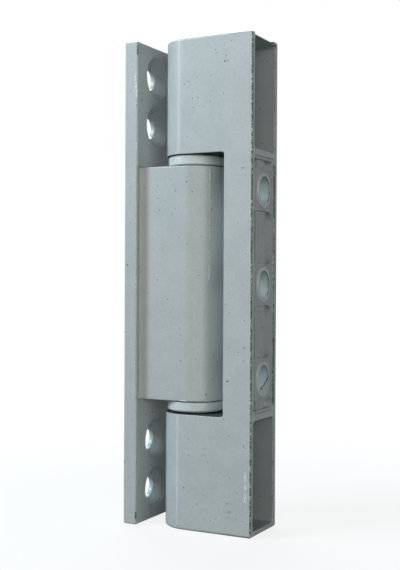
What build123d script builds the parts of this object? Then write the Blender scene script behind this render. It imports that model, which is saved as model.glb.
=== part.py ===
from build123d import *
import os

# Two-leaf surface hinge for a PVC door, 120 mm tall, in millimetres.
# Z runs up the pin axis from the bottom end of the sash leaf.
# +X points out of the sash leaf's fixing side, -X out of the frame leaf's, and the front faces -Y.

# Pin and bearing bushes
pin_d = 8.0
pin_chamfer = 0.8
running_clearance = 0.05       # radial, bush on pin
seat_clearance = 0.02          # radial, parts pressed or slid home and then left alone
bush_wall = 1.5
sleeve_length = 18.0
sleeve_clearance = 0.5         # below a sleeve's end, in its seat
flange_t = 2.55
flange_inset = 0.1             # radial, flange inside the knuckle's outline
flange_edge = 0.35
sleeve_lead = 0.5
washer_t = 0.3
washer_width = 1.7

# Axial stack in the window, from the lower arm to the upper one
lower_gap = 0.15               # washer to lower flange
upper_gap = 0.1                # upper flange to upper arm
knuckle_height = 57.75
arm_height = 28.3

# Frame leaf
knuckle_wall = 1.68            # around the bush seats
core_wall = 0.9                # radial, how much narrower the bore is between the two seats
root_reach = 2.2               # hollow roots, along the knuckle's flats
root_spread = 1.4              # and along the plate
plate_t = 3.7
plate_lip = 1.8                # plate in front of the knuckle's flat
plate_tail = 3.6               # plate behind the knuckle
plate_edge = 0.4
swing_gap = 4.5                # arms' round ends to the plate
frame_screw_d = 5.5
frame_head_d = 10.7
frame_screw_pitch = 12.4
frame_screw_end = 7.6          # plate's end to the outer screw

# Sash leaf
side_step = 0.28               # arms proud of the knuckle's flat, each side
nose_gap = 3.8                 # knuckle's nose to the web
web_t = 7.5                    # window side of the web to the fixing rim
front_wall = 1.25
back_wall = 1.8
end_wall = 1.35
ramp_drop = 0.8                # upper end wall, thinned towards the fixing side
ramp_length = 3.5
rib_t = 1.5                    # cross ribs, at the rim
rib_step = 0.7                 # cross rib past the window's end, towards the arm's cavity
rib_land = 0.7                 # flat strip between a cross rib and the first pocket
draft = 3.0                    # degrees, walls of the arms' cavities
pin_wall = 4.0                 # pin bore to a cavity's floor
cavity_round = 1.0
end_round = 0.6
rim_round = 0.6                # back vertical edge of the fixing side
window_round = 0.5
pad_drop = 0.5                 # pads round the screw slots, below the rim
pad_height = 10.0
spine_drop = 1.1               # central spine below the rim
spine_t = 5.2
neck_t = 4.2                   # spine next to the cross ribs
pocket_round = 3.0
groove_depth = 2.6             # each side of the spine, below the rim
ring_drop = 0.05               # rings round the slots, below the rim
ring_width = 1.1
sash_slot_width = 5.2
sash_slot_length = 6.5         # the extra length adjusts the sash's height
sash_head_width = 10.4
sash_screw_end = 8.9           # window's end to the outer screw
head_angle = 90.0              # both leaves' countersinks

# Set screws that lock the pin in the arms
grub_d = 5.0
grub_length = 6.0
thread_clearance = 0.05
socket_flats = 2.5
socket_depth = 2.5
cup_d = 2.6
cup_depth = 0.8
grub_chamfer = 0.5
grub_boss_wall = 2.0
grub_boss_height = 2.5

# Cover plugs over the pin's ends
plug_head_d = 11.0
plug_head_t = 1.4
plug_shank = 2.0
plug_set_in = 0.05             # below the end face
plug_edge = 0.2
pin_end_gap = 0.2

# Sizes that follow
sleeve_d = pin_d + 2 * (running_clearance + bush_wall)
seat_d = sleeve_d + 2 * seat_clearance
knuckle_d = seat_d + 2 * knuckle_wall
knuckle_r = knuckle_d / 2
flange_d = knuckle_d - 2 * flange_inset
sash_depth = knuckle_d + 2 * side_step
sash_r = sash_depth / 2
web_reach = knuckle_r + nose_gap
sash_reach = web_reach + web_t
plate_inner = sash_r + swing_gap
plate_outer = plate_inner + plate_t

window_height = washer_t + lower_gap + knuckle_height + 2 * flange_t + upper_gap
leaf_height = window_height + 2 * arm_height
window_bottom = arm_height
window_top = arm_height + window_height
leaf_mid = leaf_height / 2
lower_flange_z = window_bottom + washer_t + lower_gap
knuckle_bottom = lower_flange_z + flange_t
knuckle_top = knuckle_bottom + knuckle_height
knuckle_mid = (knuckle_bottom + knuckle_top) / 2
plate_bottom = knuckle_mid - leaf_height / 2

plate_width = plate_lip + knuckle_d + plate_tail
plate_mid_y = (plate_tail - plate_lip) / 2
plate_mid_x = -(plate_inner + plate_outer) / 2

cavity_floor = pin_d / 2 + pin_wall
grub_face = cavity_floor + grub_boss_height
sash_screw_pitch = window_height / 2 - sash_screw_end
recess_height = window_height + 2 * (rib_step - rib_t)
recess_width = sash_depth - front_wall - back_wall
recess_mid_y = (front_wall - back_wall) / 2
cavity_height = arm_height - rib_step - end_wall
arm_mids = [arm_height / 2, leaf_height - arm_height / 2]
same = 0.001                   # places closer than this are one place

os.makedirs("parts", exist_ok=True)


def at_height(edge_or_face, height):
    """True where an edge or a face has its centre at this height."""
    return abs(edge_or_face.center().Z - height) < same


# Frame leaf: plate, flat-fronted knuckle with hollow roots, bush seats and countersunk holes
with BuildPart() as frame_leaf:
    with BuildSketch(Plane.XY.offset(plate_bottom)):
        with Locations((plate_mid_x, plate_mid_y)):
            Rectangle(plate_t, plate_width)
    extrude(amount=leaf_height)
    fillet(frame_leaf.edges(), plate_edge)
    with BuildSketch(Plane.XY.offset(knuckle_bottom)):
        Circle(knuckle_r)
        with Locations((-plate_inner / 2, 0)):
            Rectangle(plate_inner, knuckle_d)
        with Locations((root_reach / 2 - plate_inner, 0)):
            Rectangle(root_reach, knuckle_d + 2 * root_spread)
        with Locations((root_reach - plate_inner, 0)):
            with GridLocations(0, knuckle_d + 2 * root_spread, 1, 2):
                Ellipse(root_reach, root_spread, mode=Mode.SUBTRACT)
    extrude(amount=knuckle_height)
    with BuildSketch(Plane.XY.offset(knuckle_bottom)):
        Circle(seat_d / 2 - core_wall)
    extrude(amount=knuckle_height, mode=Mode.SUBTRACT)
    for seat_bottom in (knuckle_bottom, knuckle_top - sleeve_length - sleeve_clearance):
        with BuildSketch(Plane.XY.offset(seat_bottom)):
            Circle(seat_d / 2)
        extrude(amount=sleeve_length + sleeve_clearance, mode=Mode.SUBTRACT)
    screw_side = Plane(origin=(-plate_inner, plate_mid_y, knuckle_mid), x_dir=(0, 1, 0), z_dir=(1, 0, 0))
    screw_span = leaf_height - 2 * frame_screw_end - frame_screw_pitch
    with Locations(screw_side):
        with GridLocations(0, screw_span, 1, 2):
            with GridLocations(0, frame_screw_pitch, 1, 2):
                CounterSinkHole(frame_screw_d / 2, frame_head_d / 2, counter_sink_angle=head_angle)

frame_leaf.part.label = "frame_leaf"
export_step(frame_leaf.part, "parts/frame_leaf.step")


# Sash leaf: half-round arms, web, drafted cavities, recess with spine, pads and ringed screw slots
with BuildPart() as sash_leaf:
    with BuildSketch() as sash_outline:
        Circle(sash_r)
        with Locations((sash_reach / 2, 0)):
            Rectangle(sash_reach, sash_depth)
        fillet(sash_outline.vertices().group_by(Axis.X)[-1].sort_by(Axis.Y)[-1], rim_round)
    extrude(amount=leaf_height)
    fillet(sash_leaf.edges().filter_by(
        lambda e: at_height(e, 0) or at_height(e, leaf_height)), end_round)

    # Window for the knuckle, with small rounds where it meets the web
    with BuildSketch(Plane.XZ) as window_outline:
        with Locations(((web_reach - sash_depth) / 2, leaf_mid)):
            Rectangle(web_reach + sash_depth, window_height)
        fillet(window_outline.vertices().group_by(Axis.X)[-1], window_round)
    extrude(amount=sash_depth, both=True, mode=Mode.SUBTRACT)

    # Recess between the cross ribs, down to the pads
    fixing_side = Plane.YZ.offset(sash_reach)
    with BuildSketch(fixing_side):
        with Locations((recess_mid_y, leaf_mid)):
            RectangleRounded(recess_width, recess_height, cavity_round)
    extrude(amount=-pad_drop, mode=Mode.SUBTRACT)

    # Pockets between the pads: down to the spine, and deeper each side of it
    pad_mids = [leaf_mid + step * sash_screw_pitch for step in (-1, 0, 1)]
    pocket_reach = recess_height / 2 - rib_land
    pocket_starts = [leaf_mid - pocket_reach] + [mid + pad_height / 2 for mid in pad_mids]
    pocket_ends = [mid - pad_height / 2 for mid in pad_mids] + [leaf_mid + pocket_reach]
    for start, end, rib in zip(pocket_starts, pocket_ends, (neck_t, spine_t, spine_t, neck_t)):
        corner = min(pocket_round, (end - start) / 3)
        with BuildSketch(fixing_side):
            with Locations((recess_mid_y, (start + end) / 2)):
                RectangleRounded(recess_width, end - start, corner)
        extrude(amount=-spine_drop, mode=Mode.SUBTRACT)
        with BuildSketch(fixing_side):
            with Locations((recess_mid_y, (start + end) / 2)):
                RectangleRounded(recess_width, end - start, corner)
            with Locations((0, (start + end) / 2)):
                Rectangle(rib, end - start, mode=Mode.SUBTRACT)
        extrude(amount=-groove_depth, mode=Mode.SUBTRACT)

    # Rings on the pads, and the countersunk slots through them
    ring_step = 2 * ring_width
    with BuildSketch(Plane.YZ.offset(sash_reach - pad_drop)):
        with Locations((0, leaf_mid)):
            with GridLocations(0, sash_screw_pitch, 1, 3):
                SlotOverall(sash_slot_length + ring_step, sash_slot_width + ring_step, rotation=90)
    extrude(amount=pad_drop - ring_drop)
    window_side = Plane(origin=(web_reach, 0, leaf_mid), x_dir=(0, 1, 0), z_dir=(1, 0, 0))
    with BuildSketch(window_side):
        with GridLocations(0, sash_screw_pitch, 1, 3):
            SlotOverall(sash_slot_length, sash_slot_width, rotation=90)
    extrude(amount=web_t, mode=Mode.SUBTRACT)
    head_step = sash_head_width - sash_slot_width
    with BuildSketch(window_side):
        with GridLocations(0, sash_screw_pitch, 1, 3):
            SlotOverall(sash_slot_length + head_step, sash_head_width, rotation=90)
    extrude(amount=head_step / 2, taper=head_angle / 2, mode=Mode.SUBTRACT)

    # Cavities in the arms, open to the fixing side
    cavity_span = leaf_height - 2 * end_wall - cavity_height
    with BuildSketch(fixing_side):
        with Locations((recess_mid_y, leaf_mid)):
            with GridLocations(0, cavity_span, 1, 2):
                RectangleRounded(recess_width, cavity_height, cavity_round)
    extrude(amount=-(sash_reach - cavity_floor), taper=draft, mode=Mode.SUBTRACT)

    # Ramp between the walls that thins the upper end wall towards the fixing side
    with BuildSketch(Plane.XZ.offset(-recess_mid_y)):
        Polygon((sash_reach - ramp_length, leaf_height), (sash_reach, leaf_height - ramp_drop),
                (sash_reach, leaf_height), align=None)
    extrude(amount=recess_width / 2, both=True, mode=Mode.SUBTRACT)

    # Bosses and tapped holes for the set screws
    grub_span = arm_mids[1] - arm_mids[0]
    with BuildSketch(Plane.YZ.offset(cavity_floor)):
        with Locations((0, leaf_mid)):
            with GridLocations(0, grub_span, 1, 2):
                Circle(grub_d / 2 + grub_boss_wall)
    extrude(amount=grub_boss_height, taper=draft)
    with BuildSketch(Plane.YZ):
        with Locations((0, leaf_mid)):
            with GridLocations(0, grub_span, 1, 2):
                Circle(grub_d / 2 + thread_clearance)
    extrude(amount=grub_face, mode=Mode.SUBTRACT)

    # Pin bore and the plugs' seats
    with BuildSketch():
        Circle(pin_d / 2 + seat_clearance)
    extrude(amount=leaf_height, mode=Mode.SUBTRACT)
    for seat_bottom in (0, leaf_height - plug_head_t - plug_set_in):
        with BuildSketch(Plane.XY.offset(seat_bottom)):
            Circle(plug_head_d / 2 + seat_clearance)
        extrude(amount=plug_head_t + plug_set_in, mode=Mode.SUBTRACT)

sash_leaf.part.label = "sash_leaf"
export_step(sash_leaf.part, "parts/sash_leaf.step")


# Pin: plain, with chamfered ends
pin_end = plug_set_in + plug_head_t + plug_shank + pin_end_gap
with BuildPart() as hinge_pin:
    with BuildSketch(Plane.XY.offset(pin_end)):
        Circle(pin_d / 2)
    extrude(amount=leaf_height - 2 * pin_end)
    chamfer(hinge_pin.edges().filter_by(GeomType.CIRCLE), pin_chamfer)

hinge_pin.part.label = "hinge_pin"
export_step(hinge_pin.part, "parts/hinge_pin.step")


def revolved_bush(flange_face, flange_root, sleeve_end):
    """Flanged bush: its flange's free face, the flange's seat on the knuckle, and the sleeve's end."""
    into = 1 if sleeve_end > flange_root else -1
    bore_r = pin_d / 2 + running_clearance
    with BuildPart() as bush:
        with BuildSketch(Plane.XZ):
            with BuildLine():
                Polyline(
                    (bore_r, flange_face),
                    (flange_d / 2 - flange_edge, flange_face),
                    (flange_d / 2, flange_face + into * flange_edge),
                    (flange_d / 2, flange_root - into * flange_edge),
                    (flange_d / 2 - flange_edge, flange_root),
                    (sleeve_d / 2, flange_root),
                    (sleeve_d / 2, sleeve_end - into * sleeve_lead),
                    (sleeve_d / 2 - sleeve_lead, sleeve_end),
                    (bore_r, sleeve_end),
                    close=True,
                )
            make_face()
        revolve(axis=Axis.Z)
    return bush.part


# Bearing bushes, one pressed in each end of the knuckle
bush_places = {
    "lower_bush": (lower_flange_z, knuckle_bottom, knuckle_bottom + sleeve_length),
    "upper_bush": (knuckle_top + flange_t, knuckle_top, knuckle_top - sleeve_length),
}
for name, (flange_face, flange_root, sleeve_end) in bush_places.items():
    bush_part = revolved_bush(flange_face, flange_root, sleeve_end)
    bush_part.label = name
    export_step(bush_part, f"parts/{name}.step")


# Thrust washer, lying on the lower arm
with BuildPart() as thrust_washer:
    with BuildSketch(Plane.XY.offset(window_bottom)):
        Circle(pin_d / 2 + running_clearance + washer_width)
        Circle(pin_d / 2 + running_clearance, mode=Mode.SUBTRACT)
    extrude(amount=washer_t)

thrust_washer.part.label = "thrust_washer"
export_step(thrust_washer.part, "parts/thrust_washer.step")


def set_screw(height):
    """Cup-point set screw along X, with its cup on the pin."""
    tip = pin_d / 2
    with BuildPart() as grub:
        with BuildSketch(Plane.YZ.offset(tip)):
            with Locations((0, height)):
                Circle(grub_d / 2)
        extrude(amount=grub_length)
        chamfer(grub.edges().filter_by(GeomType.CIRCLE), grub_chamfer)
        with BuildSketch(Plane.YZ.offset(tip + grub_length)):
            with Locations((0, height)):
                RegularPolygon(socket_flats / 2, 6, major_radius=False)
        extrude(amount=-socket_depth, mode=Mode.SUBTRACT)
        with BuildSketch(Plane.YZ.offset(tip)):
            with Locations((0, height)):
                Circle(cup_d / 2)
        extrude(amount=cup_depth, mode=Mode.SUBTRACT)
    return grub.part


# Set screws, one in each arm
for name, height in zip(("lower_grub_screw", "upper_grub_screw"), arm_mids):
    grub_part = set_screw(height)
    grub_part.label = name
    export_step(grub_part, f"parts/{name}.step")


def cover_plug(face, into):
    """Push-in plug with its head's face at this height; into is 1 where its shank points up."""
    with BuildPart() as plug:
        with BuildSketch(Plane.XY.offset(face)):
            Circle(plug_head_d / 2)
        extrude(amount=into * plug_head_t)
        chamfer(plug.edges().filter_by(lambda e: at_height(e, face)), plug_edge)
        with BuildSketch(Plane.XY.offset(face + into * plug_head_t)):
            Circle(pin_d / 2)
        extrude(amount=into * plug_shank)
    return plug.part


# Cover plugs, one in each end of the sash leaf
plug_places = {"bottom_plug": (plug_set_in, 1), "top_plug": (leaf_height - plug_set_in, -1)}
for name, (face, into) in plug_places.items():
    plug_part = cover_plug(face, into)
    plug_part.label = name
    export_step(plug_part, f"parts/{name}.step")
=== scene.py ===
"""Surface hinge for a PVC door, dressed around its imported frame: powder-coated castings with soft
paint edges, pale bearing rings and steel fittings. Meshes are in metres, in the frame's own axes.
Sizes named here are millimetres unless they carry MM, and bearings run from -Y towards +X."""
from math import cos, radians, sin

import bmesh
import bpy
from mathutils import Matrix, Vector, noise


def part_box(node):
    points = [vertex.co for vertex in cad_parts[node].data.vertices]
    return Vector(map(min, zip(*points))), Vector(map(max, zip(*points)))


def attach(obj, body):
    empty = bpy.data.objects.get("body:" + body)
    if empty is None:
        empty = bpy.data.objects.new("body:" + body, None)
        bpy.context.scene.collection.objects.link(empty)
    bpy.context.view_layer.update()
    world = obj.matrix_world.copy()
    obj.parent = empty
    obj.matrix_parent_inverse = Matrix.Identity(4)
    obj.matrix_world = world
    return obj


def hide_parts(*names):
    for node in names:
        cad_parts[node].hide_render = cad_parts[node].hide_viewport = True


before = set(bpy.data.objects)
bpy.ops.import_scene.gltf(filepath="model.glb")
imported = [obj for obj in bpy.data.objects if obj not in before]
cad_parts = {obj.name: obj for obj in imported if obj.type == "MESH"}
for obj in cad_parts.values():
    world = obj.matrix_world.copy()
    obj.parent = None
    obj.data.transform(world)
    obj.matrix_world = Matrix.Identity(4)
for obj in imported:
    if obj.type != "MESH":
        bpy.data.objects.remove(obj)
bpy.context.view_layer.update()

MM = 0.001

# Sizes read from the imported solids, and the steps that lead on from them
sash_low, sash_high = (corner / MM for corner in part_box("sash_leaf"))
washer_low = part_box("thrust_washer")[0] / MM
lower_bush_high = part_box("lower_bush")[1] / MM
upper_bush_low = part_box("upper_bush")[0] / MM
plate_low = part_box("frame_leaf")[0] / MM
SLEEVE = 18.0                          # a bush's length inside the knuckle
FLANGE_STEP = 0.1                      # from a bush's flange out to the knuckle's face
WEB_GAP = 3.8                          # from the knuckle to the sash casting's web
window_low = washer_low.z
window_high = sash_high.z - washer_low.z
knuckle_low = lower_bush_high.z - SLEEVE
knuckle_high = upper_bush_low.z + SLEEVE
knuckle_r = lower_bush_high.x + FLANGE_STEP
web_x = knuckle_r + WEB_GAP

# Faces of the castings that marks and tints keep to
PLATE_FACE_X = -12.03
RIM_X = 18.55
FAR_WALL_Y = 5.75
RECESS_FLOOR_X, RECESS_HALF_WIDTH = 15.6, 5.6
CAVITY_FLOOR_X, CAVITY_HALF_WIDTH = 10.7, 6.2
RIB_INNER, RIB_OUTER = 30.4, 32.4      # a cross rib's two faces, from the middle slot's height
SLOT_MIDDLES = (37.2, 60.0, 82.8)
SLOT_HALF_WIDTH, SLOT_HALF_LENGTH = 2.6, 3.25
SLOT_FLOOR_X = 12.4
RING_HALF_WIDTH = 4.2


class Signal:
    """An output socket of a node tree; arithmetic on it adds Math nodes."""

    def __init__(self, net, socket):
        self.net = net
        self.socket = socket

    def other(self, name):
        """Another output of the same node."""
        return Signal(self.net, self.socket.node.outputs[name])

    def math(self, operation, *values):
        return self.net.node("ShaderNodeMath", {"operation": operation}, dict(enumerate(values)))

    def __add__(self, other):
        return self.math("ADD", self, other)

    def __sub__(self, other):
        return self.math("SUBTRACT", self, other)

    def __rsub__(self, other):
        return self.math("SUBTRACT", other, self)

    def __mul__(self, other):
        return self.math("MULTIPLY", self, other)

    def __truediv__(self, other):
        return self.math("DIVIDE", self, other)

    def __rtruediv__(self, other):
        return self.math("DIVIDE", other, self)

    def __gt__(self, other):
        return self.math("GREATER_THAN", self, other)

    def __lt__(self, other):
        return self.math("LESS_THAN", self, other)

    def __abs__(self):
        return self.math("ABSOLUTE", self)

    def least(self, other):
        return self.math("MINIMUM", self, other)

    def most(self, other):
        return self.math("MAXIMUM", self, other)

    __radd__ = __add__
    __rmul__ = __mul__


class Net:
    """A node tree, of a shader or of geometry, with one method that makes its nodes."""

    def __init__(self, tree):
        self.tree = tree

    def node(self, kind, settings=None, inputs=None, output=0):
        made = self.tree.nodes.new(kind)
        for key, value in (settings or {}).items():
            setattr(made, key, value)
        for key, value in (inputs or {}).items():
            self.feed(made.inputs[key], value)
        return None if output is None else Signal(self, made.outputs[output])

    def feed(self, socket, value):
        if isinstance(value, Signal):
            self.tree.links.new(value.socket, socket)
        else:
            socket.default_value = value

    def step(self, value, low, high):
        """Smooth rise of a value from 0 at low to 1 at high."""
        return self.node("ShaderNodeMapRange", {"interpolation_type": "SMOOTHSTEP"},
                         {"Value": value, "From Min": low, "From Max": high})

    def between(self, value, low, high):
        """Mask of where a value lies between two limits."""
        return (value > low) * (value < high)

    def blend(self, share, first, second):
        """Colour that goes from the first to the second as share rises."""
        return self.node("ShaderNodeMix", {"data_type": "RGBA"}, {0: share, 6: first, 7: second}, 2)

    def axis(self, place, letter):
        """One coordinate of a place."""
        return self.node("ShaderNodeSeparateXYZ", None, {0: place}, letter)


class Finish(Net):
    """A material; its keywords are constants of the shader's own sockets."""
    WOBBLE = 0.22

    def __init__(self, name, **constants):
        self.material = bpy.data.materials.new(name)
        self.material.use_nodes = True
        super().__init__(self.material.node_tree)
        self.shader = self.tree.nodes["Principled BSDF"]
        for socket, value in constants.items():
            self.set(socket.replace("_", " "), value)

    def set(self, socket, value):
        self.feed(self.shader.inputs[socket], value)

    def vector(self, operation, *values, output=0):
        return self.node("ShaderNodeVectorMath", {"operation": operation}, dict(enumerate(values)), output)

    def scaled(self, vector, scale):
        return self.node("ShaderNodeVectorMath", {"operation": "SCALE"}, {0: vector, "Scale": scale})

    def place(self):
        """Object coordinates in millimetres."""
        return self.scaled(self.node("ShaderNodeTexCoord", output="Object"), 1 / MM)

    def flat(self, place):
        """The same place at height 0."""
        return self.vector("MULTIPLY", place, (1, 1, 0))

    def grain(self, place, scale, detail=3.0, rough=0.5, output=0):
        return self.node("ShaderNodeTexNoise", {"noise_dimensions": "3D"},
                         {"Vector": place, "Scale": scale, "Detail": detail, "Roughness": rough}, output)

    def relief(self, height, distance, strength):
        """Normal of a surface that a height raises by up to this distance in metres."""
        return self.node("ShaderNodeBump", None,
                         {"Height": height, "Distance": distance, "Strength": strength})

    def flecks(self, place, scale, share, size):
        """Mask of round flecks up to this size, in this share of the cells."""
        cell = self.node("ShaderNodeTexVoronoi", {"feature": "F1"}, {"Vector": place, "Scale": scale})
        chosen = self.axis(cell.other("Color"), "X") < share
        return chosen * (1 - self.step(cell, 0.55 * size * scale, size * scale))

    def nicks(self, place, spots, stretch=1.0):
        """Mask of single marks, each a place and a radius, drawn out upwards by stretch."""
        wobble = self.scaled(self.grain(place, 4.0, 1.0, output="Color"), self.WOBBLE)
        loose = self.vector("MULTIPLY", self.vector("ADD", place, wobble), (1, 1, 1 / stretch))
        shift = self.WOBBLE / 2
        nearest = None
        for (x, y, z), radius in spots:
            middle = (x + shift, y + shift, (z + shift) / stretch)
            reach = self.vector("DISTANCE", loose, middle, output="Value") / radius
            nearest = reach if nearest is None else nearest.least(reach)
        return 1 - self.step(nearest, 0.7, 1.2)


def shade(code):
    """Linear colour from a screen code such as b2bebf."""
    def line(value):
        value /= 255
        return value / 12.92 if value <= 0.04045 else ((value + 0.055) / 1.055) ** 2.4
    return tuple(line(int(code[i:i + 2], 16)) for i in (0, 2, 4)) + (1.0,)


# Camera, light and floor
CAMERA_YAW = radians(27.5)
CAMERA_PITCH = radians(0.35)
CAMERA_ROLL = radians(0.28)
CAMERA_REACH = 250.9 * MM
CAMERA_LENS = 63.37
AIM = Vector((0.92, 0.0, 59.81)) * MM

# Each lamp's name, bearing, rise, reach in metres, sides in metres, power and colour
LAMPS = (
    ("left_window", -49, 5, 0.7, (0.09, 0.6), 0.74, "e2f3ff"),
    ("warm_front", -8, 5, 0.7, (0.4, 0.5), 0.42, "ffbe86"),
    ("upper_sky", -45, 34, 0.65, (0.35, 0.35), 4.0, "e0f1fb"),
    ("right_front", 30, 5, 0.7, (0.45, 0.5), 1.2, "fffdfd"),
    ("right_wall", 60, 5, 0.7, (0.45, 0.5), 1.5, "fdfffb"),
    ("back_wall", 215, 48, 0.8, (0.5, 0.5), 4.2, "f6faff"),
)

# Strength of the surround that glossy rays meet, dimmer than the white that the camera sees
GLOW_FRONT, GLOW_BEHIND, GLOW_BELOW = 0.06, 0.3, 0.04

FLOOR_RADIUS = 1600 * MM
FLOOR_NEAR_GLOW = 0.84                 # fades to full white between these distances
FLOOR_FADE = (40, 300)


def make_camera():
    back = Vector((sin(CAMERA_YAW) * cos(CAMERA_PITCH), -cos(CAMERA_YAW) * cos(CAMERA_PITCH),
                   sin(CAMERA_PITCH)))
    level = Vector((cos(CAMERA_YAW), sin(CAMERA_YAW), 0.0))
    rise = back.cross(level)
    right = level * cos(CAMERA_ROLL) + rise * sin(CAMERA_ROLL)
    up = rise * cos(CAMERA_ROLL) - level * sin(CAMERA_ROLL)
    turn = Matrix((right, up, back)).transposed()
    data = bpy.data.cameras.new("photo_camera")
    data.lens = CAMERA_LENS
    data.clip_start = 0.01
    seat = bpy.data.objects.new("photo_camera", data)
    seat.matrix_world = Matrix.Translation(AIM + back * CAMERA_REACH) @ turn.to_4x4()
    bpy.context.scene.collection.objects.link(seat)
    bpy.context.scene.camera = seat


def lamp(name, bearing, rise, reach, sides, power, colour):
    """Soft area lamp aimed at the hinge."""
    data = bpy.data.lights.new(name, "AREA")
    data.shape = "RECTANGLE"
    data.size, data.size_y = sides
    data.energy = power
    data.color = shade(colour)[:3]
    out = Vector((sin(radians(bearing)) * cos(radians(rise)),
                  -cos(radians(bearing)) * cos(radians(rise)), sin(radians(rise))))
    facing = out.to_track_quat("Z", "Y").to_matrix().to_4x4()
    seat = bpy.data.objects.new(name, data)
    seat.matrix_world = Matrix.Translation(AIM + out * reach) @ facing
    bpy.context.scene.collection.objects.link(seat)


def make_world():
    """A pale surround that looks white to the camera, through openings too, and glows dimmer in reflections,
    most from behind and least from below.
    """
    world = bpy.data.worlds.new("studio")
    world.use_nodes = True
    bpy.context.scene.world = world
    sky = Net(world.node_tree)
    path = {name: sky.node("ShaderNodeLightPath", output=name)
            for name in ("Is Camera Ray", "Is Transmission Ray", "Is Glossy Ray")}
    seen = path["Is Camera Ray"].most(path["Is Transmission Ray"])
    direction = sky.node("ShaderNodeTexCoord", output="Generated")
    behind = sky.step(sky.axis(direction, "Y"), -0.2, 0.7)
    below = 1 - sky.step(sky.axis(direction, "Z"), -0.15, 0.05)
    mirrored = GLOW_FRONT + behind * (GLOW_BEHIND - GLOW_FRONT) + below * (GLOW_BELOW - GLOW_FRONT)
    background = world.node_tree.nodes["Background"]
    sky.feed(background.inputs["Color"], sky.blend(seen, shade("f4faff"), shade("ffffff")))
    sky.feed(background.inputs["Strength"], seen.most(path["Is Glossy Ray"] * mirrored))


def make_floor():
    """Round pale floor that fades to white away from the hinge, in the camera's eyes alone."""
    shell = bmesh.new()
    bmesh.ops.create_circle(shell, cap_ends=True, radius=FLOOR_RADIUS, segments=96)
    pale = Finish("pale_floor", Roughness=0.9, Base_Color=shade("646969"), Specular_IOR_Level=0.0,
                  Emission_Strength=1.0)
    reach = pale.vector("LENGTH", pale.place(), output="Value")
    seen = pale.node("ShaderNodeLightPath", output="Is Camera Ray")
    lift = seen * (FLOOR_NEAR_GLOW + pale.step(reach, *FLOOR_FADE) * (1 - FLOOR_NEAR_GLOW))
    pale.set("Emission Color", pale.blend(lift, shade("000000"), shade("ffffff")))
    floor = linked("floor", as_mesh(shell, "floor", smooth=False), pale.material)
    floor.visible_glossy = False


# Making and claiming pieces
def as_mesh(shell, name, smooth=True):
    """Mesh of a finished bmesh, which is freed."""
    for face in shell.faces:
        face.smooth = smooth
    mesh = bpy.data.meshes.new(name)
    shell.to_mesh(mesh)
    shell.free()
    return mesh


def linked(name, mesh, *finishes):
    """Object of a mesh and its finishes, at the origin."""
    for finish in finishes:
        mesh.materials.append(finish)
    piece = bpy.data.objects.new(name, mesh)
    bpy.context.scene.collection.objects.link(piece)
    return piece


def finished(piece):
    """The same piece with its modifiers worked into a plain mesh."""
    graph = bpy.context.evaluated_depsgraph_get()
    mesh = bpy.data.meshes.new_from_object(piece.evaluated_get(graph))
    rough = piece.data
    piece.modifiers.clear()
    piece.data = mesh
    bpy.data.meshes.remove(rough)
    mesh.name = piece.name
    return piece


def claim(piece, body, *nodes):
    """Give a painted piece to its body, in place of the CAD nodes that it replaces."""
    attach(piece, body)
    if nodes:
        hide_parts(*nodes)


# Finishes
def fine_mottle(paint, place):
    """The coat's small cloudiness, about half a millimetre across."""
    return paint.grain(place, 1.9, 3.0, 0.65)


def worn_edges(paint, place, edges):
    """Mask of broken paint along upright edges, each given by (x, y), lowest z, highest z and share."""
    flat = paint.flat(place)
    height = paint.axis(place, "Z")
    ragged = paint.grain(place, 2.6, 2.0, 0.6)
    mask = None
    for (x, y), low, high, share in edges:
        away = paint.vector("DISTANCE", flat, (x, y, 0), output="Value") + (ragged - 0.5) * 0.3
        start = 0.5 - (share - 0.5) * 0.3
        wear_and_ramp_shade = paint.step(paint.grain(place, 2.1, 2.0, 0.7), start, start + 0.03)
        part = (1 - paint.step(away, 0.2, 0.26)) * paint.between(height, low, high) * wear_and_ramp_shade
        mask = part if mask is None else mask.most(part)
    return mask


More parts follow.
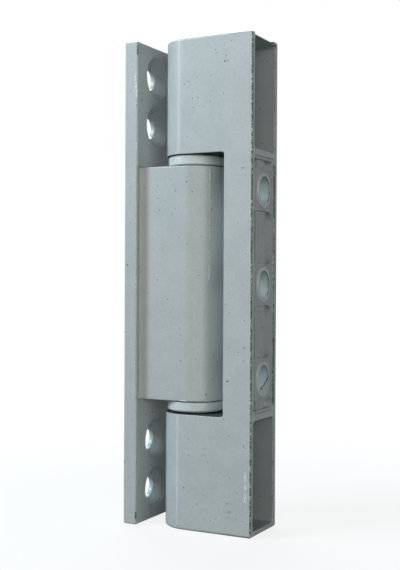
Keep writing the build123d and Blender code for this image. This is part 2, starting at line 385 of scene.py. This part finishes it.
def sash_tints(paint, place, colour):
    """The fixing side's tones: warmer, darker patches over the recess, painted light on the slot walls, near
    rim, cross ribs and rings, painted shade in the cavities and a ragged band of painted shade at the upper
    ramp."""
    across, depth, height = (paint.axis(place, letter) for letter in "XYZ")
    side = abs(depth)
    from_middle = abs(height - SLOT_MIDDLES[1])
    recess = paint.between(across, RECESS_FLOOR_X, RIM_X - 0.35) * (side < RECESS_HALF_WIDTH)
    patches = paint.step(paint.grain(place, 0.5, 4.0, 0.6), 0.42, 0.62)
    # Warmer, darker patches over the recess
    recess_tone = recess * (from_middle < RIB_INNER) * (0.04 + patches * 0.2)
    colour = paint.blend(recess_tone, colour, shade("948f8c"))

    # Slot walls painted lighter: painted light for the light caught inside the slots
    from_slot = abs(height - SLOT_MIDDLES[0]).least(from_middle).least(abs(height - SLOT_MIDDLES[2]))
    painted_slot_light = (from_slot < SLOT_HALF_LENGTH + 0.03) * (side < SLOT_HALF_WIDTH + 0.03)
    painted_slot_light = painted_slot_light * paint.between(across, SLOT_FLOOR_X, RIM_X - 0.12)
    colour = paint.blend(painted_slot_light, colour, shade("b9c4c2"))

    # Near rim and cross ribs painted lighter, the rings more so: painted light on these raised faces
    rib = paint.between(from_middle, RIB_INNER, RIB_OUTER)
    facing = (across > RIM_X - 0.15) * rib.most(depth < -RECESS_HALF_WIDTH)
    colour = paint.blend(facing * 0.4, colour, shade("dbe3e6"))
    ring = (across > RIM_X - 0.25) * (side < RING_HALF_WIDTH) * (from_middle < RIB_INNER - 0.4)
    colour = paint.blend(ring * 0.6, colour, shade("e2eaec"))

    # Cavities painted darker, the lower cavity more: painted shade
    painted_cavity_shade = (from_middle > RIB_OUTER - 0.2) * (side < CAVITY_HALF_WIDTH)
    painted_cavity_shade = painted_cavity_shade * paint.between(across, CAVITY_FLOOR_X, RIM_X - 0.25)
    colour = paint.blend(painted_cavity_shade * (0.2 + 0.13 * (height < SLOT_MIDDLES[1])), colour, shade("4c5253"))
    # A ragged dark band at the top of the fixing side, at the ramp: painted shade
    wear_and_ramp_shade = paint.between(height, sash_high.z - 1.5, sash_high.z - 0.72) * (across > RIM_X - 0.35)
    ragged = 1 - paint.step(paint.grain(place, 1.4, 2.0), 0.5, 0.6) * 0.35
    return paint.blend(wear_and_ramp_shade * (side < CAVITY_HALF_WIDTH) * ragged * 0.9, colour, shade("39423f"))


def frame_tints(paint, place, colour):
    """The frame casting's painted shade: warm where the knuckle grows out of the plate, and low on the plate.
    """
    across, depth, height = (paint.axis(place, letter) for letter in "XYZ")
    root = across + fine_mottle(paint, place) * 0.8
    # Warm painted shade in the corner where the knuckle grows out of the plate
    painted_root_shade = (1 - paint.step(root, -10.2, -8.6)) * (root > PLATE_FACE_X + 0.03) * (depth < -7.0)
    painted_root_shade = painted_root_shade * paint.between(height, knuckle_low - 0.5, knuckle_high + 0.5)
    colour = paint.blend(painted_root_shade * 0.34, colour, shade("847a76"))
    # Painted shade on the plate's face low down, fading out upwards
    painted_foot_shade = (1 - paint.step(height, 12, 36)) * paint.step(depth, -9.2, -4.5)
    painted_foot_shade = painted_foot_shade * paint.between(root, -12.6, -10.6)
    return paint.blend(painted_foot_shade * 0.25, colour, shade("5b6466"))


def powder_coat(name, tones, flecked, spots, rubs, worn, gap_shade_levels, gap_shade_reach, tints):
    """Semi-gloss powder coat over zinc: faint mottling, pin-prick flecks, single nicks, light rubs, worn
    edges and orange peel. Near-black painted shade lies at the given heights, in the gaps where the coat
    runs against a bearing ring, and tints adds one casting's tones and its painted light and shade."""
    paint = Finish(name, Coat_Roughness=0.07)
    place = paint.place()
    cloud = paint.grain(place, 0.16, 4.0, 0.55)
    mottle = fine_mottle(paint, place)
    colour = paint.blend(paint.step(cloud, 0.35, 0.65), shade(tones[0]), shade(tones[1]))
    colour = paint.blend(paint.step(mottle, 0.45, 0.72) * 0.45, colour, shade(tones[2]))
    speckle = paint.step(paint.grain(place, 3.4, 2.0, 0.6), 0.35, 0.65)
    colour = paint.blend(speckle * 0.1, colour, shade("dde6e6"))

    fine = paint.flecks(place, 0.55, flecked, 0.19)
    coarse = paint.flecks(place, 0.24, flecked * 0.6, 0.28)
    pinpricks = paint.flecks(place, 1.1, 0.5, 0.1) * paint.step(paint.grain(place, 0.1, 2.0), 0.45, 0.6)
    marks = fine.most(coarse).most(pinpricks).most(paint.nicks(place, spots))
    colour = paint.blend(marks * 0.9, colour, shade("3c4446"))
    rubbed = paint.nicks(place, rubs, 4.0) * paint.step(paint.grain(place, 2.2, 3.0, 0.7), 0.42, 0.56)
    colour = paint.blend(rubbed * 0.8, colour, shade("e6edeb"))

    height = paint.axis(place, "Z")
    radius = paint.vector("LENGTH", paint.flat(place), output="Value")
    # Near-black painted shade at the given heights, in the gaps where the coat meets a bearing ring, out to
    # the given reach from the pin
    nearest = abs(height - gap_shade_levels[0]).least(abs(height - gap_shade_levels[1])) + (mottle - 0.5) * 0.1
    gap_shade = (1 - paint.step(nearest, 0.05, 0.15)) * (1 - paint.step(radius, gap_shade_reach, gap_shade_reach + 0.1))
    colour = paint.blend(gap_shade * 0.93, colour, shade("15191b"))
    colour = tints(paint, place, colour)
    scars = worn_edges(paint, place, worn)
    paint.set("Base Color", paint.blend(scars * 0.9, colour, shade("2f383a")))

    paint.set("Roughness", 0.36 + mottle * 0.14 + marks.most(scars).most(gap_shade * 2.5) * 0.2)
    paint.set("Coat Weight", 0.45 - gap_shade * 0.45)
    peel = paint.grain(place, 1.3, 2.0, 0.5) + paint.grain(place, 4.5, 1.0) * 0.25
    paint.set("Normal", paint.relief(peel - marks * 0.7 - scars * 0.8, 0.035 * MM, 0.6))
    return paint.material


def bare_zinc():
    """Zinc that shows dark where the coat has broken away from an edge."""
    zinc = Finish("bare_zinc", Metallic=0.35, Roughness=0.6)
    stain = zinc.step(zinc.grain(zinc.place(), 3.0, 3.0, 0.6), 0.35, 0.65)
    zinc.set("Base Color", zinc.blend(stain, shade("2b3335"), shade("5a6466")))
    return zinc.material


def ring_plastic():
    """Smooth pale bearing plastic, a little clouded."""
    resin = Finish("ring_resin", Roughness=0.36, Coat_Weight=0.3, Coat_Roughness=0.15)
    place = resin.place()
    cloud = resin.step(resin.grain(place, 0.8, 3.0), 0.3, 0.7)
    resin.set("Base Color", resin.blend(cloud, shade("c6d1d2"), shade("d0dadb")))
    resin.set("Normal", resin.relief(resin.grain(place, 3.0, 2.0), 0.015 * MM, 0.5))
    return resin.material


def worn_steel(name, light, dark, rough):
    """Steel stained from a light to a dark tone, with patches of another roughness."""
    steel = Finish(name, Metallic=1.0)
    place = steel.place()
    stain = steel.step(steel.grain(place, 1.1, 5.0, 0.65), 0.4, 0.65)
    steel.set("Base Color", steel.blend(stain, shade(light), shade(dark)))
    steel.set("Roughness", rough + steel.grain(place, 6.0) * 0.2)
    return steel.material


# Castings, with their sharp edges rounded as thick paint rounds them
SHARP = radians(40)
WIDEST_EDGE = 0.35
OUTER_RIM_EDGE, WINDOW_EDGE, SLOT_RING_EDGE, SASH_EDGE = 0.3, 0.26, 0.22, 0.14
KNUCKLE_EDGE, FRAME_EDGE = 0.35, 0.18

# Places on the sash casting that tell its edges apart
RIM_INNER_Y = 6.4
RIM_END = 0.7
BOX_SIDE_Y = 7.3
MITRE_HEIGHT = 0.58
RAMP_HEIGHT, RAMP_DEPTH = 0.9, 3.6
RAMP_SIDES = (-6.4, 5.9)
NEAR_WINDOW = 0.3


def sash_edge_width(middle):
    """Width of the rounded edge at this place of the sash casting. The ramp and the end walls' mitres
    keep their thin facets, which a rounded edge would fold over."""
    on_outer_rim = middle.x > sash_high.x - 0.1 and (
        abs(middle.y) > RIM_INNER_Y or not RIM_END < middle.z < sash_high.z - RIM_END)
    on_window = (middle.x < web_x + NEAR_WINDOW
                 and window_low - NEAR_WINDOW < middle.z < window_high + NEAR_WINDOW
                 and (abs(middle.y) > BOX_SIDE_Y or middle.x < 0))
    on_slot_ring = sash_high.x - 0.08 < middle.x < sash_high.x - 0.02
    on_ramp = (middle.z > sash_high.z - RAMP_HEIGHT and middle.x > sash_high.x - RAMP_DEPTH
               and RAMP_SIDES[0] < middle.y < RAMP_SIDES[1])
    to_end = sash_high.z / 2 - abs(middle.z - sash_high.z / 2)
    on_mitre = to_end < MITRE_HEIGHT and middle.x > sash_high.x - RIM_END
    if on_ramp or on_mitre:
        return 0.0
    if on_outer_rim:
        return OUTER_RIM_EDGE
    if on_window:
        return WINDOW_EDGE
    return SLOT_RING_EDGE if on_slot_ring else SASH_EDGE


def frame_edge_width(middle):
    """The same for the frame casting, whose knuckle has rounder ends."""
    on_knuckle_end = min(abs(middle.z - knuckle_low), abs(middle.z - knuckle_high)) < 0.05
    return KNUCKLE_EDGE if on_knuckle_end else FRAME_EDGE


def softened(node, name, body, finish, edge_width):
    """Copy of a CAD solid with its facets welded and its sharp edges rounded."""
    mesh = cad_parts[node].data.copy()
    if "custom_normal" in mesh.attributes:
        mesh.attributes.remove(mesh.attributes["custom_normal"])
    shell = bmesh.new()
    shell.from_mesh(mesh)
    bmesh.ops.remove_doubles(shell, verts=shell.verts, dist=0.001 * MM)
    bmesh.ops.dissolve_limit(shell, angle_limit=radians(0.6), verts=shell.verts, edges=shell.edges)
    weight = shell.edges.layers.float.new("bevel_weight_edge")
    for edge in shell.edges:
        if edge.is_manifold and edge.calc_face_angle(0.0) > SHARP:
            middle = (edge.verts[0].co + edge.verts[1].co) / 2 / MM
            edge[weight] = edge_width(middle) / WIDEST_EDGE
    for face in shell.faces:
        face.smooth = True
    shell.to_mesh(mesh)
    shell.free()
    mesh.materials.clear()
    piece = linked(name, mesh, finish)
    rounded = piece.modifiers.new("paint_edges", "BEVEL")
    rounded.limit_method = "WEIGHT"
    rounded.width = WIDEST_EDGE * MM
    rounded.segments = 2
    rounded.use_clamp_overlap = False
    weighted = piece.modifiers.new("paint_normals", "WEIGHTED_NORMAL")
    weighted.weight = 80
    claim(finished(piece), body, node)


# Single marks in the coat, each with its radius: x and z on the flat front faces, or x, y and z
SASH_FRONT_NICKS = (
    (16.1, 87.63, 0.21), (16.65, 45.01, 0.20), (12.29, 36.94, 0.25), (16.64, 21.82, 0.18),
    (16.72, 51.5, 0.14), (17.06, 67.33, 0.11), (11.26, 113.27, 0.24), (12.13, 113.31, 0.15),
    (8.71, 116.2, 0.14), (2.75, 102.87, 0.13), (5.72, 102.97, 0.14), (1.1, 95.87, 0.14),
    (13.98, 97.48, 0.12), (1.2, 109.27, 0.14), (7.47, 110.13, 0.11), (0.29, 108.74, 0.15),
    (10.25, 100.36, 0.11), (3.9, 27.08, 0.11), (5.87, 18.83, 0.15), (7.16, 17.24, 0.13),
    (12.99, 13.97, 0.14), (12.44, 7.79, 0.17), (12.45, 5.58, 0.11),
)
KNUCKLE_NICKS = ((0.81, 84.98, 0.20), (-10.76, 83.88, 0.18), (-8.61, 28.15, 0.17))
sash_nicks = [((x, sash_low.y, z), radius) for x, z, radius in SASH_FRONT_NICKS]
sash_nicks.append(((14.8, 5.73, 102.9), 0.22))
frame_nicks = [((x, -knuckle_r, z), radius) for x, z, radius in KNUCKLE_NICKS]
frame_nicks += [((PLATE_FACE_X, 1.72, 115.7), 0.22), ((PLATE_FACE_X, 1.74, 115.1), 0.2),
                ((PLATE_FACE_X, -1.2, 27.4), 0.27)]

# Light rubs, in the same form
SASH_RUBS = (((17.1, -7.53, 14.6), 0.3), ((17.15, -7.53, 11.9), 0.24), ((17.1, -7.53, 9.4), 0.3),
             ((-2.5, -7.12, 2.9), 0.14), ((10.3, -7.53, 3.9), 0.15), ((9.4, -7.53, 2.9), 0.12))
PLATE_RUBS = (((-12.8, -9.05, 111.0), 0.26), ((-12.55, -9.05, 109.1), 0.3), ((-12.35, -9.05, 107.2), 0.28),
              ((-12.9, -9.05, 104.5), 0.15), ((-12.25, -9.05, 94.3), 0.24), ((-12.3, -9.05, 61.0), 0.15))

# Worn upright edges: where they stand, lowest and highest place, and the share that is broken
sash_corner = (sash_high.x - 0.1, sash_low.y + 0.1)
far_wall = (RIM_X - 0.05, FAR_WALL_Y)
plate_corner = (PLATE_FACE_X - 0.1, plate_low.y + 0.1)
sash_worn = ((sash_corner, 0.4, 119.6, 0.72), (far_wall, 76.5, 89.6, 0.75), (far_wall, 30.4, 46.5, 0.75),
             (far_wall, 46, 78, 0.5), (far_wall, 1, 119, 0.15))
plate_worn = ((plate_corner, 116.9, 119.4, 0.8), (plate_corner, 1.6, 3.3, 0.8))


# Broken paint, burrs and casting flash
def crumb_tree():
    """Geometry Nodes tree that strews small uneven crumbs along a path, in runs with gaps between."""
    tree = bpy.data.node_groups.new("crumbs_along_path", "GeometryNodeTree")
    tree.interface.new_socket("Path", in_out="INPUT", socket_type="NodeSocketGeometry")
    for label in ("Spacing", "Share", "Run", "Length", "Thickness", "Scatter"):
        tree.interface.new_socket(label, in_out="INPUT", socket_type="NodeSocketFloat")
    tree.interface.new_socket("Seed", in_out="INPUT", socket_type="NodeSocketInt")
    tree.interface.new_socket("Finish", in_out="INPUT", socket_type="NodeSocketMaterial")
    tree.interface.new_socket("Crumbs", in_out="OUTPUT", socket_type="NodeSocketGeometry")
    net = Net(tree)
    given = net.node("NodeGroupInput")
    seed, thickness = given.other("Seed"), given.other("Thickness")
    path = net.node("GeometryNodeMeshToCurve", None, {"Mesh": given})
    dots = net.node("GeometryNodeCurveToPoints", {"mode": "LENGTH"},
                    {"Curve": path, "Length": given.other("Spacing")}, "Points")
    cluster = net.node("ShaderNodeTexNoise", {"noise_dimensions": "4D"},
                       {"Vector": net.node("GeometryNodeInputPosition"), "W": seed,
                        "Scale": 1 / given.other("Run"), "Detail": 1.0})
    stray = net.node("FunctionNodeRandomValue", {"data_type": "FLOAT_VECTOR"},
                     {"Min": (-1, -1, -1), "Max": (1, 1, 1), "Seed": seed})
    offset = net.node("ShaderNodeVectorMath", {"operation": "SCALE"},
                      {0: stray, "Scale": given.other("Scatter")})
    loose = net.node("GeometryNodeSetPosition", None, {"Geometry": dots, "Offset": offset})
    bulk = net.node("FunctionNodeRandomValue", {"data_type": "FLOAT_VECTOR"},
                    {"Min": (0.45, 0.45, 0.5), "Max": (1.25, 1.25, 1.5), "Seed": seed + 1})
    form = net.node("ShaderNodeCombineXYZ", None,
                    {"X": thickness, "Y": thickness, "Z": given.other("Length")})
    size = net.node("ShaderNodeVectorMath", {"operation": "MULTIPLY"}, {0: bulk, 1: form})
    ball = net.node("GeometryNodeMeshIcoSphere", None, {"Radius": 1.0, "Subdivisions": 2})
    laid = net.node("GeometryNodeInstanceOnPoints", None,
                    {"Points": loose, "Selection": cluster < given.other("Share"), "Instance": ball,
                     "Rotation": dots.other("Rotation"), "Scale": size})
    real = net.node("GeometryNodeRealizeInstances", None, {"Geometry": laid})
    smooth = net.node("GeometryNodeSetShadeSmooth", None, {"Geometry": real})
    coated = net.node("GeometryNodeSetMaterial", None,
                      {"Geometry": smooth, "Material": given.other("Finish")})
    net.node("NodeGroupOutput", None, {"Crumbs": coated}, None)
    return tree


CRUMBS = crumb_tree()


def strewn(name, body, paths, finish, seed, spacing=0.16, share=0.56, run=0.55, length=0.13,
           thickness=0.055, scatter=0.03):
    """Crumbs along the given paths, each a list of places, on one body."""
    places = [place for path in paths for place in path]
    edges = []
    start = 0
    for path in paths:
        edges += [(start + i, start + i + 1) for i in range(len(path) - 1)]
        start += len(path)
    mesh = bpy.data.meshes.new(name)
    mesh.from_pydata([[value * MM for value in place] for place in places], edges, [])
    piece = linked(name, mesh)
    strew = piece.modifiers.new("crumbs", "NODES")
    strew.node_group = CRUMBS
    values = {"Spacing": spacing * MM, "Share": share, "Run": run * MM, "Length": length * MM,
              "Thickness": thickness * MM, "Scatter": scatter * MM, "Seed": seed, "Finish": finish}
    for item in CRUMBS.interface.items_tree:
        if item.name in values and item.in_out == "INPUT":
            strew[item.identifier] = values[item.name]
    claim(finished(piece), body)


def upright(x, y, low, high):
    return [(x, y, low), (x, y, high)]


def slot_edge(x, middle, inset, first, last, steps=24):
    """Stretch of a slot's edge on the fixing side, in degrees anticlockwise from +Y."""
    half_width = SLOT_HALF_WIDTH - inset
    straight = SLOT_HALF_LENGTH - SLOT_HALF_WIDTH
    path = []
    for step in range(steps + 1):
        angle = radians(first + (last - first) * step / steps)
        lift = straight if sin(angle) > 0 else -straight
        path.append((x, half_width * cos(angle), middle + lift + half_width * sin(angle)))
    return path


def edge_crumbs(chip, paint):
    """Chips and burrs along the corners, the far wall and the slots' rims."""
    corner = [upright(sash_high.x - 0.15, sash_low.y + 0.15, 0.7, sash_high.z - 0.7)]
    strewn("sash_corner_chips", "sash", corner, chip, 3, thickness=0.09, length=0.17)
    strewn("sash_corner_burrs", "sash", corner, paint, 5, spacing=0.3, share=0.5, thickness=0.08,
           length=0.2)
    wall = [upright(RIM_X - 0.16, FAR_WALL_Y - 0.05, low, high) for low, high in ((76.5, 89.4), (30.6, 46.5))]
    strewn("sash_far_wall_chips", "sash", wall, chip, 7, share=0.6, thickness=0.1)
    faint = [upright(RIM_X - 0.11, FAR_WALL_Y - inset, low, high)
             for inset, low, high in ((0.07, 47.0, 76.0), (0.03, 93.5, 117.5), (0.03, 2.5, 26.5))]
    strewn("sash_far_wall_specks", "sash", faint, chip, 8, share=0.45, thickness=0.06)
    rims = [slot_edge(RIM_X - 0.14, middle, -0.02, -50, 130) for middle in SLOT_MIDDLES]
    strewn("slot_rim_chips", "sash", rims, chip, 11, spacing=0.1, share=0.75, thickness=0.09)
    ends = [upright(PLATE_FACE_X - 0.11, plate_low.y + 0.12, low, high)
            for low, high in ((116.9, 119.3), (1.8, 3.3))]
    strewn("plate_corner_chips", "frame", ends, chip, 13, share=0.62, thickness=0.07)
    middle = [upright(PLATE_FACE_X - 0.13, plate_low.y + 0.14, 4.0, 116.5)]
    strewn("plate_corner_specks", "frame", middle, paint, 14, share=0.5, thickness=0.09,
           spacing=0.5)


# The flash's torn upper edge in the lowest slot, as y and z, and its run along the slot's wall
TORN_EDGE = [(2.62, 37.6), (2.2, 36.75), (1.9, 36.9), (1.43, 36.32), (0.82, 35.98), (0.3, 35.6),
             (-0.09, 35.58), (-0.6, 35.22), (-1.0, 35.35), (-1.3, 34.89), (-1.7, 34.8)]
TORN_WALL = (228, 348)
FLASH_SINK, FLASH_THICKNESS = 0.3, 0.2


def slot_flash(paint, chip):
    """Thin casting flash that closes the lower part of the lowest slot, with a torn upper edge."""
    wall = [(y, z) for _, y, z in slot_edge(0, SLOT_MIDDLES[0], -0.03, *TORN_WALL, steps=15)]
    shell = bmesh.new()
    corners = [shell.verts.new(((RIM_X - FLASH_SINK) * MM, y * MM, z * MM)) for y, z in TORN_EDGE + wall]
    face = shell.faces.new(corners)
    grown = bmesh.ops.extrude_face_region(shell, geom=[face])
    top = [item for item in grown["geom"] if isinstance(item, bmesh.types.BMVert)]
    bmesh.ops.translate(shell, verts=top, vec=(FLASH_THICKNESS * MM, 0, 0))
    bmesh.ops.recalc_face_normals(shell, faces=shell.faces)
    piece = linked("slot_flash", as_mesh(shell, "slot_flash", smooth=False), paint)
    rounded = piece.modifiers.new("soft_edge", "BEVEL")
    rounded.width = 0.06 * MM
    rounded.segments = 2
    claim(finished(piece), "sash")
    edge = [(RIM_X - FLASH_SINK / 2, y, z + 0.03) for y, z in TORN_EDGE]
    strewn("slot_flash_edge", "sash", [edge], chip, 17, spacing=0.09, share=0.85, thickness=0.09,
           scatter=0.05)


# Marks about the pin: bearings in degrees, heights and radii in millimetres
TOP_SEAM = ((-150, 150),)
LOWER_SEAMS = ((-62, -8), (11, 30), (33, 47), (70, 100))
SEAM_PROFILE = ((6.9, -1), (7.2, -1), (7.225, 0), (7.2, 1), (6.9, 1))          # radius, side of the joint
BRIDGES = ((-7, 10.5), (30, 32.5), (47.5, 53), (57, 69.5))
BRIDGE_PROFILE = ((7.12, -0.22), (7.2, -0.12), (7.24, 0.12), (7.255, 0.42))    # radius, height
# Each drop's bearing, height, half width and half length
DROPS = ((18, 87.8, 0.22, 0.14), (14, 87.95, 0.12, 0.1), (36, 87.5, 0.26, 0.13), (39, 87.75, 0.14, 0.1),
         (52, 86.8, 0.2, 0.22), (53, 85.9, 0.12, 0.3), (52.5, 84.2, 0.2, 0.55), (53, 82.9, 0.12, 0.4),
         (52, 81.7, 0.1, 0.3), (53, 80.2, 0.12, 0.5), (52.5, 78.6, 0.09, 0.4))
DROP_HALF_THICKNESS = 0.1
PARTING_BEARING = 52.6
RIDGE_RUNS = ((82.0, 88.3), (61.4, 66.8))
LINE_RUN = (66.8, 82.0)


def about_pin(radius, bearing, height):
    """Place at a bearing in radians about the pin."""
    return radius * sin(bearing), -radius * cos(bearing), height


def bearings(first, last, stride):
    """Bearings in radians between two in degrees, in four or more steps of about this stride."""
    steps = max(4, int((last - first) / stride))
    return [radians(first + (last - first) * step / steps) for step in range(steps + 1)]


def add_strip(shell, rows):
    """Faces between neighbouring rows of places."""
    rings = [[shell.verts.new([value * MM for value in place]) for place in row] for row in rows]
    for left, right in zip(rings, rings[1:]):
        for i in range(len(left) - 1):
            shell.faces.new((left[i], right[i], right[i + 1], left[i + 1]))


def seam_lines(dark):
    """Dark strips in the joints between the knuckle's ends and the bearing rings, painted shade of the open
    joint wherever no paint bridges it.
    """
    shell = bmesh.new()
    for height, spans in ((knuckle_high, TOP_SEAM), (knuckle_low, LOWER_SEAMS)):
        for first, last in spans:
            turns = bearings(first, last, 2)
            rows = []
            for step, bearing in enumerate(turns):
                to_end = min(step, len(turns) - 1 - step)
                wave = 0.045 + 0.03 * noise.noise(Vector((height, step * 0.5, 0.0)))
                wave *= min(1.0, 0.2 + to_end * 0.5)
                rows.append([about_pin(radius, bearing, height + side * wave)
                             for radius, side in SEAM_PROFILE])
            add_strip(shell, rows)
    claim(linked("seam_lines", as_mesh(shell, "seam_lines"), dark), "frame")


def paint_bridges(paint):
    """Skin of paint that bridges the joint between the knuckle and the lower ring, in torn stretches."""
    shell = bmesh.new()
    for first, last in BRIDGES:
        turns = bearings(first, last, 1.5)
        steps = len(turns) - 1
        rows = []
        for step, bearing in enumerate(turns):
            to_end = min(step, steps - step) / steps
            reach = 0.5 + min(1.0, to_end * 6) * 0.5
            wave = noise.noise(Vector((first, step * 0.7, 0.0))) * 0.04
            rows.append([about_pin(radius, bearing, knuckle_low + level * reach + wave)
                         for radius, level in BRIDGE_PROFILE])
        add_strip(shell, rows)
    piece = linked("paint_bridges", as_mesh(shell, "paint_bridges"), paint)
    wall = piece.modifiers.new("skin", "SOLIDIFY")
    wall.thickness = 0.05 * MM
    wall.offset = -1
    claim(finished(piece), "frame")


def paint_drops(paint):
    """Small raised drops of paint on the knuckle, mostly in one upright run; their paler finish is a painted
    highlight.
    """
    shell = bmesh.new()
    for bearing, height, width, length in DROPS:
        turn = radians(bearing)
        seat = Matrix.Translation(Vector(about_pin(knuckle_r, turn, height)) * MM)
        form = Matrix.Diagonal((width * MM, DROP_HALF_THICKNESS * MM, length * MM, 1))
        bmesh.ops.create_icosphere(shell, subdivisions=3, radius=1.0,
                                   matrix=seat @ Matrix.Rotation(turn, 4, "Z") @ form)
    claim(linked("paint_drops", as_mesh(shell, "paint_drops"), paint), "frame")


def parting_run(paint):
    """Broken run of thick paint along the knuckle's parting line, finer along its middle; its paler finish is
    a painted highlight.
    """
    x, y, _ = about_pin(knuckle_r, radians(PARTING_BEARING), 0)
    strewn("parting_ridge", "frame", [upright(x, y, *run) for run in RIDGE_RUNS], paint, 23, spacing=0.22,
           run=1.2, length=0.28, thickness=0.1, scatter=0.04)
    strewn("parting_line", "frame", [upright(x, y, *LINE_RUN)], paint, 29, spacing=0.3, share=0.52,
           run=1.6, length=0.3, thickness=0.05, scatter=0.02)


def paint_nodes(finish, *nodes):
    """Finish for CAD nodes that stay as they are."""
    for node in nodes:
        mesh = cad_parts[node].data
        mesh.materials.clear()
        mesh.materials.append(finish)


make_camera()
make_world()
make_floor()
for each in LAMPS:
    lamp(*each)

sash_paint = powder_coat(
    "sash_powder_coat", tones=("b4bcbc", "bbc2c2", "a6aeae"), flecked=0.4, spots=sash_nicks,
    rubs=SASH_RUBS, worn=sash_worn, gap_shade_levels=(window_low, window_high), gap_shade_reach=12.6,
    tints=sash_tints)
frame_paint = powder_coat(
    "frame_powder_coat", tones=("b3bbba", "b9c0bf", "a5acab"), flecked=0.8, spots=frame_nicks,
    rubs=PLATE_RUBS, worn=plate_worn, gap_shade_levels=(knuckle_low, knuckle_high), gap_shade_reach=7.22,
    tints=frame_tints)
resin = ring_plastic()
chip = bare_zinc()
# Paler than the coat: real raised paint whose colour carries a painted highlight
drop_paint_with_glint = Finish("paint_drops", Roughness=0.2, Coat_Weight=1.0, Coat_Roughness=0.05,
                   Base_Color=shade("dfe6e4")).material

edge_crumbs(chip, sash_paint)
slot_flash(sash_paint, chip)
paint_bridges(frame_paint)
seam_lines(chip)
paint_drops(drop_paint_with_glint)
parting_run(drop_paint_with_glint)
softened("frame_leaf", "frame_casting", "frame", frame_paint, frame_edge_width)
softened("sash_leaf", "sash_casting", "sash", sash_paint, sash_edge_width)
paint_nodes(resin, "upper_bush", "lower_bush", "top_plug", "bottom_plug")
paint_nodes(worn_steel("pin_steel", "b5b6b4", "94918b", 0.22), "hinge_pin")
paint_nodes(worn_steel("washer_steel", "4a3c2e", "0e0c0b", 0.35), "thrust_washer")
paint_nodes(worn_steel("blackened_steel", "2c2d2e", "1b1b1c", 0.35), "upper_grub_screw", "lower_grub_screw")

bpy.context.scene.view_settings.view_transform = "Standard"
